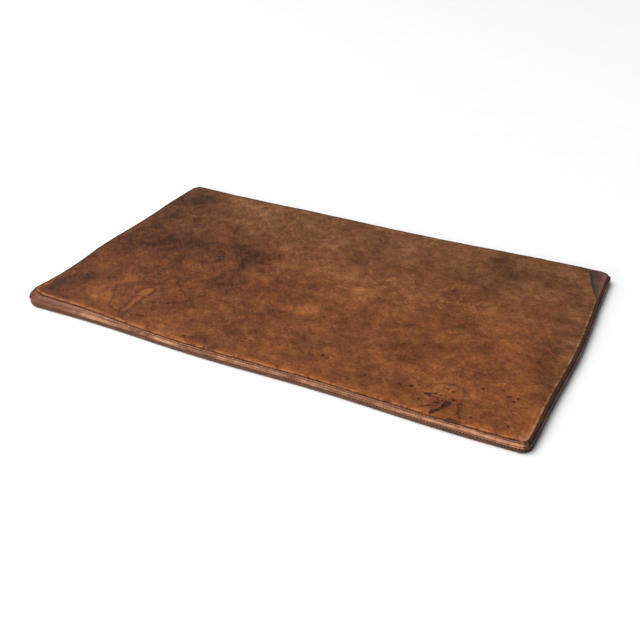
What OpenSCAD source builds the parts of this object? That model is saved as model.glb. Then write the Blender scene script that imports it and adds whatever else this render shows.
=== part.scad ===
// An old padded leather desk mat. Two hides hold a felt core between them, and rolled leather
// strips box the four edges. All sizes are in millimetres. The origin is under the middle of
// the mat, on the desk: +X runs along the length, +Y to the back and +Z up.

/* [Mat] */
// Length between the straight lines that the two short edges follow
mat_length = 795; // [600:1:1000]
// Width between the straight lines that the two long edges follow
mat_width = 475; // [365:1:610]
// Height of the flat writing surface above the desk
mat_height = 14.2; // [13.8:0.1:18]
// Thickness of the top hide and of the bottom hide
hide_thick = 2; // [1.6:0.1:2.2]
// Thickness of the leather in the edge strips
strip_thick = 1.8; // [1.4:0.1:2]
// How far the worn edges stray from straight: 0 is a plain rectangle, 1 the real mat
stray = 1; // [0:0.1:1.5]

/* [Corners] */
// Radius of the front left corner, which is the most worn one
front_left_radius = 30; // [28:1:40]
// Radius of the front right corner
front_right_radius = 18; // [17:1:30]
// Radius of the back right corner
back_right_radius = 22; // [15:1:30]
// Radius of the back left corner
back_left_radius = 14; // [14:1:30]

/* [Seams] */
// Height of the lower seam, between the strips and the rim of the bottom hide
low_seam_height = 5; // [4.6:0.1:5.4]
// How far the top seam lies in from the edge along the front
front_inset = 5; // [3.5:0.5:8]
// How far the top seam lies in from the edge along the right side
right_inset = 5; // [3.5:0.5:8]
// How far the top seam lies in from the edge along the back
back_inset = 3.5; // [3.5:0.5:8]
// How far the top seam lies in from the edge along the left side
left_inset = 3.5; // [3.5:0.5:8]
// How far the strip is pulled on to the top at the front left corner
front_left_inset = 17; // [8:1:22]
// How far the strip is pulled on to the top at the front right corner
front_right_inset = 6; // [5:1:12]

/* [Thread] */
// Diameter of the waxed thread
thread_diameter = 0.9; // [0.6:0.1:1]
// Length of thread that shows in one stitch
stitch_length = 3; // [2:0.1:3.6]
// Distance from one stitch to the next
stitch_pitch = 4.3; // [4:0.1:6]

/* [Corner patch] */
// How far the patch on the back right corner reaches along the back edge
patch_along_back = 31; // [20:1:60]
// How far the patch on the back right corner reaches down the right edge
patch_along_side = 105; // [40:1:140]
// Thickness of the patch leather
patch_thick = 0.8; // [0.6:0.1:1.2]

/* [Hidden] */

// The four sides in turn, anticlockwise from above. Corner i comes after side i.
FRONT = 0;
RIGHT = 1;
BACK = 2;
LEFT = 3;
half_along = [mat_length / 2, mat_width / 2, mat_length / 2, mat_width / 2];
half_across = [mat_width / 2, mat_length / 2, mat_width / 2, mat_length / 2];
radius_after = [front_right_radius, back_right_radius, back_left_radius, front_left_radius];

// How each side strays outwards: at its start, at its end, then in 1, 2, 3 and 4 half waves.
waves = [[0, 1.5, 0, 0, -0.5, -2], [-3, -4, 5, -0.5, -1, 0], [5, 3, -6.5, 0, 0, 1.5], [0, 2, -1, 1.5, -1.5, 2]];

// How far in the top seam lies, on each side and at the middle of the corner after it.
side_inset = [front_inset, right_inset, back_inset, left_inset];
corner_inset = [front_right_inset, right_inset, back_inset, front_left_inset];
// How far the pull of a corner on the seam reaches, along the side before it and the side after it.
pull_before = [60, 60, 60, 27];
pull_after = [25, 60, 60, 240];

strip_gap = 0.15;       // half the gap between two strips where they meet at a corner
straight_step = 25;     // spacing of the sections along a straight side
corner_steps = 4;       // sections in half a corner
fit = 0.05;             // air between pieces that lie against each other

roll_top = mat_height - 0.9;
roll_bottom = low_seam_height - 0.5;
roll_mid = (roll_top + roll_bottom) / 2;
roll_half = (roll_top - roll_bottom) / 2;
widest_roll = 5;        // from the edge in to the crest of the roll
groove_z = mat_height - 1.8;                    // bottom of the groove at the top seam
flange_z = groove_z - 1.1;                      // lower end of the flanges turned down at that seam
low_seam_inset = 2.1;   // from the edge in to the lower seam
flange_reach = 5.2;     // how far in the flanges at the lower seam end
low_flange_top = low_seam_height + 1.6;
low_flange_bottom = low_seam_height - 1.7;
cord_slack = 0.2;       // air round the cord inside the roll
cord_radius = (flange_z - low_flange_top) / 2 - cord_slack;
cord_inset = strip_thick + cord_radius + cord_slack;
thread_lift = 0.75;     // from the bottom of a seam groove to the middle of its thread
track_step = 2;         // spacing of the points that a seam is measured along
crown_start = 3.2;      // from the top seam to where the top hide lies flat

// Place along a side. s runs from the middle of the corner before the side to the middle of the
// corner after it. Each function gives side i's own view, with the side along +X and out along -Y.
function before(i) = (i + 3) % 4;
function after(i) = (i + 1) % 4;
function ease(f) = f * f * (3 - 2 * f);
function first_arc(i) = radius_after[before(i)] * PI / 4;
function last_arc(i) = radius_after[i] * PI / 4;
function straight(i) = 2 * half_along[i] - radius_after[before(i)] - radius_after[i];
function run(i) = first_arc(i) + straight(i) + last_arc(i);
function wave(i, t) = stray * (waves[i][0] * (1 - t) + waves[i][1] * t
    + waves[i][2] * sin(180 * t) + waves[i][3] * sin(360 * t)
    + waves[i][4] * sin(540 * t) + waves[i][5] * sin(720 * t));
function wave_slope(i, t) = (wave(i, t + 0.001) - wave(i, t - 0.001)) / 0.002 / straight(i);
function corner_stray(i, f) = stray * (waves[i][1] + (waves[after(i)][0] - waves[i][1]) * ease(f));

// A place is [point, outward direction].
function arc_place(centre, radius, angle) =
    [centre + radius * [cos(angle), sin(angle)], [cos(angle), sin(angle)]];
function first_place(i, s) =
    let (r = radius_after[before(i)], f = 0.5 + 0.5 * s / first_arc(i))
    arc_place([r - half_along[i], r - half_across[i]], r + corner_stray(before(i), f), -180 + 90 * f);
function last_place(i, s) =
    let (r = radius_after[i], f = 0.5 * (s - first_arc(i) - straight(i)) / last_arc(i))
    arc_place([half_along[i] - r, r - half_across[i]], r + corner_stray(i, f), -90 + 90 * f);
function straight_place(i, s) =
    let (t = (s - first_arc(i)) / straight(i), slope = wave_slope(i, t), size = sqrt(1 + slope * slope))
    [[radius_after[before(i)] - half_along[i] + t * straight(i), -half_across[i] - wave(i, t)],
        [-slope, -1] / size];
function side_place(i, s) =
    s < first_arc(i) ? first_place(i, s)
    : s > first_arc(i) + straight(i) ? last_place(i, s)
    : straight_place(i, s);

// The same place in the mat's own axes, before it is centred.
function turn(i, v) = [v.x * cos(90 * i) - v.y * sin(90 * i), v.x * sin(90 * i) + v.y * cos(90 * i)];
function loose_place(i, s) = let (p = side_place(i, s)) [turn(i, p[0]), turn(i, p[1])];

// Sections of a side: a few round each half corner and one every straight_step along the side.
function stops(i) =
    let (count = round(straight(i) / straight_step))
    concat(
        [for (n = [0 : corner_steps - 1]) first_arc(i) * n / corner_steps],
        [for (n = [0 : count]) first_arc(i) + straight(i) * n / count],
        [for (n = [1 : corner_steps - 1]) first_arc(i) + straight(i) + last_arc(i) * n / corner_steps]
    );

// The stray waves move the outline off centre, so it is moved back.
loose_outline = [for (i = [FRONT : LEFT], s = stops(i)) loose_place(i, s)[0]];
xs = [for (p = loose_outline) p.x];
ys = [for (p = loose_outline) p.y];
middle = [(min(xs) + max(xs)) / 2, (min(ys) + max(ys)) / 2];
function place(i, s) = let (p = loose_place(i, s)) [p[0] - middle, p[1]];

// How far in the top seam lies. The pull of each corner dies away along the side.
function pull(distance, reach) = distance < reach ? 1 - ease(distance / reach) : 0;
function seam_inset(i, s) = side_inset[i]
    + (corner_inset[before(i)] - side_inset[i]) * pull(s, pull_after[before(i)])
    + (corner_inset[i] - side_inset[i]) * pull(run(i) - s, pull_before[i]);

// A point that lies d in from the outline at place p.
function inward(p, d) = p[0] - d * p[1];
function lifted(p, dz) = let (q = inward(p, dz[0])) [q.x, q.y, dz[1]];

// The outline at a constant distance in, and at a distance in from the top seam.
function inset_loop(d) = [for (i = [FRONT : LEFT], s = stops(i)) inward(place(i, s), d)];
function seam_loop(d) = [for (i = [FRONT : LEFT], s = stops(i)) inward(place(i, s), seam_inset(i, s) + d)];
function at_height(loop, z) = [for (p = loop) [p.x, p.y, z]];

// Cross-sections as [distance in from the outline, height], anticlockwise with the inside on the right.
function oval(centre, radii, first, last, steps) =
    [for (n = [0 : steps]) let (a = first + (last - first) * n / steps)
        [centre.x - radii.x * cos(a), centre.y + radii.y * sin(a)]];
function strip_section(inset) =
    let (
        reach = min(widest_roll, inset - 1.3),
        hollow = [reach - strip_thick, roll_half - strip_thick],
        low = -asin((roll_mid - low_flange_top) / hollow.y),
        high = asin((flange_z - roll_mid) / hollow.y)
    )
    concat(
        [[inset - fit, flange_z], [inset - fit, groove_z], [inset - 0.9, roll_top - 0.2]],
        oval([reach, roll_mid], [reach, roll_half], 90, -35, 7),
        [[low_seam_inset, low_seam_height + fit], [flange_reach, low_seam_height + fit], [flange_reach, low_flange_top]],
        oval([reach, roll_mid], hollow, low, high, 4)
    );
function cord_section() = [for (n = [0 : 9])
    [cord_inset + cord_radius * cos(36 * n), roll_mid + cord_radius * sin(36 * n)]];

// A closed skin over a stack of rings with the same number of points each.
module skin(rings) {
    count = len(rings[0]);
    last = (len(rings) - 1) * count;
    walls = [for (i = [0 : len(rings) - 2], j = [0 : count - 1])
        let (a = i * count + j, b = i * count + (j + 1) % count)
        each [[a, a + count, b + count], [a, b + count, b]]];
    caps = [[for (j = [0 : count - 1]) j], [for (j = [count - 1 : -1 : 0]) last + j]];
    polyhedron([for (ring = rings, p = ring) p], concat(walls, caps));
}

// A cross-section carried along one side. The list holds one section for each stop.
function trimmed_stops(i) = concat([strip_gap], [for (s = stops(i)) if (s > strip_gap) s], [run(i) - strip_gap]);
module along_side(i, sections) {
    at = trimmed_stops(i);
    skin([for (n = [0 : len(at) - 1]) let (p = place(i, at[n])) [for (dz = sections[n]) lifted(p, dz)]]);
}

module edge_strip(i) {
    color("#9c6348")
    along_side(i, [for (s = trimmed_stops(i)) strip_section(seam_inset(i, s))]);
}

module edge_cord(i) {
    color("#cdbf9f")
    along_side(i, [for (s = trimmed_stops(i)) cord_section()]);
}

// One stitch: a straight length of thread between two points at one height.
module stitch(from, to, z) {
    centre = (from + to) / 2;
    along = to - from;
    translate([centre.x, centre.y, z])
    rotate([0, 90, atan2(along.y, along.x)])
    cylinder(h = stitch_length, d = thread_diameter, center = true, $fn = 24);
}

// A seam is measured along its own line, so that its stitches keep their spacing in a pulled corner.
function seam_spot(i, s, top) = inward(place(i, s), top ? seam_inset(i, s) : low_seam_inset - thread_lift);
function seam_track(i, top) =
    let (
        count = round(run(i) / track_step),
        spots = [for (n = [0 : count]) seam_spot(i, run(i) * n / count, top)]
    )
    [for (n = 0, far = 0; n <= count; n = n + 1, far = far + (n <= count ? norm(spots[n] - spots[n - 1]) : 0))
        [far, run(i) * n / count]];

module seam_thread(i, top, z) {
    track = seam_track(i, top);
    seam_length = track[len(track) - 1][0];
    count = floor((seam_length - 2 * stitch_length) / stitch_pitch);
    first = (seam_length - count * stitch_pitch - stitch_length) / 2;
    for (n = [0 : count]) {
        start = first + n * stitch_pitch;
        stitch(
            seam_spot(i, lookup(start, track), top),
            seam_spot(i, lookup(start + stitch_length, track), top),
            z
        );
    }
}

module top_seam_thread(i) {
    color("#4a2c20")
    seam_thread(i, true, groove_z + thread_lift);
}

module bottom_seam_thread(i) {
    color("#b08a63")
    seam_thread(i, false, low_seam_height);
}

// Closing stitches lie across the joint of two strips, one above the other.
module corner_thread(i) {
    rows = 3;
    row_gap = 1.6;
    proud = thread_diameter / 2 + 0.15;
    color("#4a2c20")
    for (n = [0 : rows - 1])
        stitch(
            inward(place(i, run(i) - stitch_length / 2), -proud),
            inward(place(after(i), stitch_length / 2), -proud),
            roll_mid + (n - (rows - 1) / 2) * row_gap
        );
}

module top_hide() {
    edge = [[hide_thick + fit, groove_z - fit], [hide_thick + fit, flange_z], [fit, flange_z], [fit, groove_z],
        [0.9, mat_height - 0.95], [1.7, mat_height - 0.3], [crown_start, mat_height]];
    color("#7b4a2e")
    difference() {
        skin([for (dz = edge) at_height(seam_loop(dz[0]), dz[1])]);
        translate([0, 0, mat_height - patch_thick - fit])
        linear_extrude(hide_thick)
        offset(delta = fit)
        patch_outline();
    }
}

module bottom_hide() {
    edge = [[1.6, 0], [0.6, 0.4], [0.15, 1.4], [0.2, 2.8], [0.9, 4], [low_seam_inset, low_seam_height - fit],
        [flange_reach, low_seam_height - fit], [flange_reach, low_flange_bottom],
        [hide_thick + 0.4, low_flange_bottom - 0.2], [hide_thick + 0.5, hide_thick]];
    color("#5d3a26")
    skin([for (dz = edge) at_height(inset_loop(dz[0]), dz[1])]);
}

// The upper felt fills the space above the lower one, and its crown fits inside the top seam.
module felt_upper() {
    color("#b9b2a4") {
        translate([0, 0, low_flange_top + fit])
        linear_extrude(flange_z - low_flange_top - 2 * fit)
        polygon(inset_loop(cord_inset + cord_radius + cord_slack));
        translate([0, 0, flange_z - 2 * fit])
        linear_extrude(groove_z - flange_z)
        polygon(seam_loop(hide_thick + 0.3));
    }
}

module felt_lower() {
    color("#a39c8d")
    translate([0, 0, hide_thick + fit])
    linear_extrude(low_flange_top - hide_thick - fit)
    polygon(inset_loop(flange_reach + 0.3));
}

// The patch is let into the top hide. Its inner edge is a superellipse about the square corner.
module patch_outline() {
    fullness = 1.4;
    corner = [mat_length / 2, mat_width / 2] - middle;
    steps = 16;
    inner_edge = [for (n = [0 : steps]) let (a = 90 * n / steps)
        corner - [patch_along_back * pow(cos(a), 2 / fullness), patch_along_side * pow(sin(a), 2 / fullness)]];
    beyond = 40;
    intersection() {
        polygon(seam_loop(crown_start));
        polygon(concat(inner_edge,
            [corner + [beyond, -patch_along_side], corner + [beyond, beyond], corner + [-patch_along_back, beyond]]));
    }
}

module corner_patch() {
    color("#4b3029")
    translate([0, 0, mat_height - patch_thick])
    linear_extrude(patch_thick)
    patch_outline();
}

top_hide();
bottom_hide();
corner_patch();
felt_upper();
felt_lower();
edge_strip(FRONT);  // edge_strip_front
edge_strip(RIGHT);  // edge_strip_right
edge_strip(BACK);  // edge_strip_back
edge_strip(LEFT);  // edge_strip_left
edge_cord(FRONT);  // edge_cord_front
edge_cord(RIGHT);  // edge_cord_right
edge_cord(BACK);  // edge_cord_back
edge_cord(LEFT);  // edge_cord_left
top_seam_thread(FRONT);  // top_seam_thread_front
top_seam_thread(RIGHT);  // top_seam_thread_right
top_seam_thread(BACK);  // top_seam_thread_back
top_seam_thread(LEFT);  // top_seam_thread_left
bottom_seam_thread(FRONT);  // bottom_seam_thread_front
bottom_seam_thread(RIGHT);  // bottom_seam_thread_right
bottom_seam_thread(BACK);  // bottom_seam_thread_back
bottom_seam_thread(LEFT);  // bottom_seam_thread_left
corner_thread(FRONT);  // corner_thread_front_right
corner_thread(RIGHT);  // corner_thread_back_right
corner_thread(BACK);  // corner_thread_back_left
corner_thread(LEFT);  // corner_thread_front_left
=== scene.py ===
# %% [markdown]
# # A padded leather desk mat
# Two hides lie above and below a felt core. Rolled leather strips close the four sides, and two rows of hand
# stitches hold each strip. This file builds the looks around a fixed CAD frame, in metres, one piece at a
# time. Each piece is a surface worked out with numpy, so a shape is a formula that can be read and changed.

# %% Load the frame
from functools import reduce
import bpy
import numpy as np
from mathutils import Matrix, Vector

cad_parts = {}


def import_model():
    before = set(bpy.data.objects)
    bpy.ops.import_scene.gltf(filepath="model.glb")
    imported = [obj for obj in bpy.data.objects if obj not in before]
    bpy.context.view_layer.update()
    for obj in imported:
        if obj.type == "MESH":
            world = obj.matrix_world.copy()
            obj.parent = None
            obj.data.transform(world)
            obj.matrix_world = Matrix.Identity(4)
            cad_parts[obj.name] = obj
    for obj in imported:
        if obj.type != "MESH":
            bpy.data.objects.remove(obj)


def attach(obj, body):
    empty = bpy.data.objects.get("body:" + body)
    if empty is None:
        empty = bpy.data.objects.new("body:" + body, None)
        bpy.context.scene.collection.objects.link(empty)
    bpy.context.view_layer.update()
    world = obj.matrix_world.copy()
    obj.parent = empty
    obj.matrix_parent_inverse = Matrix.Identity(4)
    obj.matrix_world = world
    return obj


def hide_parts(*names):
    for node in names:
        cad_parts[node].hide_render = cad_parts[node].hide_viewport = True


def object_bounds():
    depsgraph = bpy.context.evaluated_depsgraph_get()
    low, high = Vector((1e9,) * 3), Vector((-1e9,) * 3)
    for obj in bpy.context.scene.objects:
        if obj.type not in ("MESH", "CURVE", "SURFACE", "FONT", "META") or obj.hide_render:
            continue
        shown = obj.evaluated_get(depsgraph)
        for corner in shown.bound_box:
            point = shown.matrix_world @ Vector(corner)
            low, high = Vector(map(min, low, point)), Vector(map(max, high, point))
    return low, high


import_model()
cad_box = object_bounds()
low, high = np.array(cad_box[0]), np.array(cad_box[1])
MM = 0.001
top_z = high[2] / MM
print("CAD box in mm:", (low / MM).round(1), (high / MM).round(1))

# %% [markdown]
# ## The camera
# The camera is placed first, because every piece is judged through it. It stands in front and to the right of
# the mat and looks down at about 32 degrees. A direction and a distance from one aimed point are easier to
# adjust than three coordinates and three angles.

# %% Camera
azimuth, elevation, roll = np.radians([27.09, 31.66, -0.204])
distance = 1.3144
aim = np.array([31.2, -76.2, 0.0]) * MM
level, rise = np.cos(elevation), np.sin(elevation)
back = np.array([np.sin(azimuth) * level, -np.cos(azimuth) * level, rise])
right = np.cross([0, 0, 1], back)
right /= np.linalg.norm(right)
up = np.cross(back, right)
turned_right = np.cos(roll) * right + np.sin(roll) * up
turned_up = np.cos(roll) * up - np.sin(roll) * right
camera_data = bpy.data.cameras.new("camera")
camera_data.lens = 49.75
camera = bpy.data.objects.new("camera", camera_data)
bpy.context.collection.objects.link(camera)
camera.matrix_world = Matrix.Translation(Vector(aim + distance * back)) @ Matrix(
    np.stack([turned_right, turned_up, back], axis=1).tolist()).to_4x4()
bpy.context.scene.camera = camera
print("camera at", (aim + distance * back).round(3))

# %% [markdown]
# ## The outline
# A hand-made mat is never a true rectangle. Each side is a straight line with a few slow waves, and the
# corners are arcs of different radii. The seam runs inside the outline, and in the front left corner it turns
# away from it, where the strip is gathered wide. The same few numbers shape the CAD parts, so everything
# lines up.

# %% Outline of the mat, in millimetres
LENGTH, WIDTH = 795.0, 475.0
FRONT, RIGHT, BACK, LEFT = range(4)
SIDES = ("front", "right", "back", "left")
half_along = np.array([LENGTH, WIDTH, LENGTH, WIDTH]) / 2
half_across = np.array([WIDTH, LENGTH, WIDTH, LENGTH]) / 2
radius = [18.0, 22.0, 14.0, 30.0]
waves = [
    [0, 1.5, 0, 0, -0.5, -2],
    [-3, -4, 5, -0.5, -1, 0],
    [5, 3, -6.5, 0, 0, 1.5],
    [0, 2, -1, 1.5, -1.5, 2],
]
side_inset = [5, 5, 3.5, 3.5]
corner_inset = [6, 5, 3.5, 17]
pull_before = [60, 60, 60, 27]
pull_after = [25, 60, 60, 240]


def ease(f):
    """The smooth step 3f^2 - 2f^3, from 0 to 1."""
    f = np.clip(f, 0, 1)
    return f * f * (3 - 2 * f)


def ripple(x, y, size, seed):
    """Value noise from -1 to 1: random heights on a lattice of that size, joined by the smooth step."""
    table = np.random.default_rng(seed).uniform(-1, 1, (256, 256))
    gx, gy = np.asarray(x) / size + 100.37, np.asarray(y) / size + 100.71
    ix, iy = np.floor(gx).astype(int), np.floor(gy).astype(int)
    fx, fy = ease(gx - ix), ease(gy - iy)
    near = table[ix % 256, iy % 256] * (1 - fx) + table[(ix + 1) % 256, iy % 256] * fx
    far = table[ix % 256, (iy + 1) % 256] * (1 - fx) + table[(ix + 1) % 256, (iy + 1) % 256] * fx
    return near * (1 - fy) + far * fy


def before(side):
    return (side + 3) % 4


def after(side):
    return (side + 1) % 4


def arcs(side):
    """Lengths of a side's first half corner, its straight part and its last half corner."""
    first, last = radius[before(side)], radius[side]
    return first * np.pi / 4, 2 * half_along[side] - first - last, last * np.pi / 4


def run(side):
    return sum(arcs(side))


def wave(side, t):
    """How far a side stands out at t from 0 to 1, and its slope: a line plus sines of 1 to 4 half turns."""
    w = waves[side]
    turns = np.arange(1, 5) * np.pi
    sizes = np.array(w[2:])
    out = w[0] * (1 - t) + w[1] * t + (sizes * np.sin(turns * t[..., None])).sum(-1)
    slope = w[1] - w[0] + (sizes * turns * np.cos(turns * t[..., None])).sum(-1)
    return out, slope


def half_corner(side, r, angle, first_wave, last_wave, share, end):
    """Points on an arc whose radius eases from one side's wave to the next one's."""
    unit = np.stack([np.cos(angle), np.sin(angle)], -1)
    middle = np.array([end * (half_along[side] - r), r - half_across[side]])
    return middle + (r + first_wave + (last_wave - first_wave) * ease(share))[..., None] * unit, unit


def place(side, s):
    """Outline points and outward directions, s millimetres from the middle of the corner before the side."""
    s = np.asarray(s, float)
    a, straight, b = arcs(side)
    out, slope = wave(side, (s - a) / straight)
    point = np.stack([radius[before(side)] - half_along[side] + s - a, -half_across[side] - out], -1)
    normal = np.stack([-slope / straight, -np.ones_like(s)], -1)
    normal /= np.linalg.norm(normal, axis=-1, keepdims=True)
    share = 0.5 + 0.5 * s / a
    first, first_normal = half_corner(side, radius[before(side)], np.radians(-180 + 90 * share),
        waves[before(side)][1], waves[side][0], share, -1)
    share = 0.5 * (s - a - straight) / b
    last, last_normal = half_corner(side, radius[side], np.radians(-90 + 90 * share),
        waves[side][1], waves[after(side)][0], share, 1)
    in_first, in_last = (s < a)[..., None], (s > a + straight)[..., None]
    point = np.where(in_first, first, np.where(in_last, last, point))
    normal = np.where(in_first, first_normal, np.where(in_last, last_normal, normal))
    turn = np.radians(90 * side)
    matrix = np.array([[np.cos(turn), np.sin(turn)], [-np.sin(turn), np.cos(turn)]])
    return point @ matrix, normal @ matrix


def pull(distance_along, reach):
    return 1 - ease(distance_along / reach)


def inset(side, s):
    """Depth of the seam inside the outline: the side's value, pulled to each corner's value, plus a wander.
    """
    start, end = before(side), side
    base = side_inset[side]
    steady = ease(s / 30) * ease((run(side) - s) / 30)
    wander = steady * (0.5 * ripple(s, side * 29.0, 37, 1) + 0.28 * ripple(s, side * 29.0, 12, 2))
    return (base + wander + (corner_inset[start] - base) * pull(s, pull_after[start])
        + (corner_inset[end] - base) * pull(run(side) - s, pull_before[end]))


raw = np.concatenate([place(i, np.linspace(0, run(i), 400))[0] for i in range(4)])
middle = (raw.min(0) + raw.max(0)) / 2 - (low + high)[:2] / 2 / MM


def inward(side, s, depth):
    """Points depth millimetres inside the outline, in the CAD frame."""
    point, normal = place(side, s)
    return point - middle - normal * np.asarray(depth, float)[..., None]


def from_edge(depth):
    """The line that lies depth millimetres inside the outline."""
    return lambda side, s: np.full_like(s, depth)


def from_seam(depth):
    """The line that lies depth millimetres inside the top seam."""
    return lambda side, s: inset(side, s) + depth


print("outline in mm:", np.ptp(raw, axis=0).round(1), "CAD:", ((high - low)[:2] / MM).round(1))

# %% [markdown]
# ## Stitch spacing
# A stitcher marks the leather with a pricking iron, so the holes are evenly spaced along the seam itself. The
# seam's length is added up from many short steps, and each point gets a stitch count, a whole number at each
# hole.

# %% Stitch counts along the seams
PITCH = 4.3
FINE_STEPS = 3000
low_seam = from_edge(1.35)


def stitch_count(side, s, depth):
    """Stitches from the start of the side to s, along the line at that depth inside the outline."""
    fine = np.linspace(0, run(side), FINE_STEPS)
    line = inward(side, fine, depth(side, fine))
    steps = np.linalg.norm(np.diff(line, axis=0), axis=-1)
    travelled = np.concatenate([[0], np.cumsum(steps)])
    holes = round(travelled[-1] / PITCH)
    return np.interp(s, fine, travelled / travelled[-1] * holes), holes, np.interp(s, fine, travelled)


print("top stitches a side:", [stitch_count(i, np.zeros(1), inset)[1] for i in range(4)])

# %% [markdown]
# ## From arrays to meshes
# A surface is a lattice of points. Neighbouring rows and columns make the faces, so the faces come from index
# arithmetic. `foreach_set` hands whole arrays to Blender, which is far quicker than adding vertices one by
# one. The signed volume of a closed shape shows whether its faces point outwards, and turns them round if
# they don't.

# %% Mesh helpers
def lattice(rows, columns, wrap_rows=False, wrap_columns=False, start=0):
    """Corner indices of the quads between neighbouring rows and columns of a lattice."""
    i = np.arange(rows if wrap_rows else rows - 1)[:, None]
    j = np.arange(columns if wrap_columns else columns - 1)[None, :]
    i2, j2 = (i + 1) % rows, (j + 1) % columns
    corners = [i * columns + j, i * columns + j2, i2 * columns + j2, i2 * columns + j]
    return start + np.stack([np.broadcast_to(c, (i.size, j.size)).ravel() for c in corners], -1)


def volume_of(points, faces):
    """Signed volume: the sum over each face's fan of triangles of a . (b x c) / 6."""
    total = 0.0
    for group in faces:
        for k in range(1, group.shape[1] - 1):
            a, b, c = points[group[:, 0]], points[group[:, k]], points[group[:, k + 1]]
            total += np.einsum("ij,ij->", a, np.cross(b, c)) / 6
    return total


def make_piece(name, points, faces, material, nodes, attributes=None, sharp=55):
    """A closed piece from points in millimetres and groups of faces, each an array of corner indices."""
    points = np.asarray(points, float) * MM
    faces = [np.atleast_2d(np.asarray(group, dtype=np.int64)) for group in faces]
    if volume_of(points, faces) < 0:
        faces = [group[:, ::-1] for group in faces]
    sizes = np.concatenate([np.full(len(group), group.shape[1]) for group in faces])
    corners = np.concatenate([group.ravel() for group in faces])
    mesh = bpy.data.meshes.new(name)
    mesh.vertices.add(len(points))
    mesh.vertices.foreach_set("co", points.ravel().astype(np.float32))
    mesh.loops.add(len(corners))
    mesh.loops.foreach_set("vertex_index", corners.astype(np.int32))
    mesh.polygons.add(len(sizes))
    mesh.polygons.foreach_set("loop_start", (np.cumsum(sizes) - sizes).astype(np.int32))
    mesh.polygons.foreach_set("use_smooth", np.ones(len(sizes), dtype=bool))
    mesh.update(calc_edges=True)
    mesh.validate()
    mesh.set_sharp_from_angle(angle=np.radians(sharp))
    for key, values in (attributes or {}).items():
        layer = mesh.attributes.new(key, "FLOAT", "POINT")
        layer.data.foreach_set("value", np.asarray(values, np.float32).ravel())
    piece = bpy.data.objects.new(name, mesh)
    bpy.context.collection.objects.link(piece)
    piece.data.materials.append(material)
    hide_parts(*nodes)
    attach(piece, "root")
    print(f"{name}: {int((sizes - 2).sum())} triangles, {abs(volume_of(points, faces)) * 1e6:.1f} cm3")
    return piece


# %% [markdown]
# ## Shader expressions
# A leather colour is a long sum of masks and noises, which is hard to follow as a web of nodes. The class
# below wraps a socket, so that `1 - mask * 0.5` adds the Math nodes by itself. Every other node comes from
# one method that takes the node's type, its settings and the values or links of its sockets.

# %% A socket that can be used in sums
class Wire:
    """A number or colour that flows through a finish's nodes."""

    def __init__(self, finish, socket):
        self.finish = finish
        self.socket = socket

    def math(self, operation, *others):
        inputs = {0: self, **{k + 1: other for k, other in enumerate(others)}}
        return self.finish.node("ShaderNodeMath", {"operation": operation}, inputs)

    def __add__(self, other):
        return self.math("ADD", other)

    def __mul__(self, other):
        return self.math("MULTIPLY", other)

    def __sub__(self, other):
        return self.math("SUBTRACT", other)

    def __rsub__(self, other):
        return (self * -1) + other

    def least(self, other):
        return self.math("MINIMUM", other)

    def most(self, other):
        return self.math("MAXIMUM", other)

    def held(self):
        """The value kept between 0 and 1."""
        return self.most(0).least(1)

    __radd__ = __add__
    __rmul__ = __mul__


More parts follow.
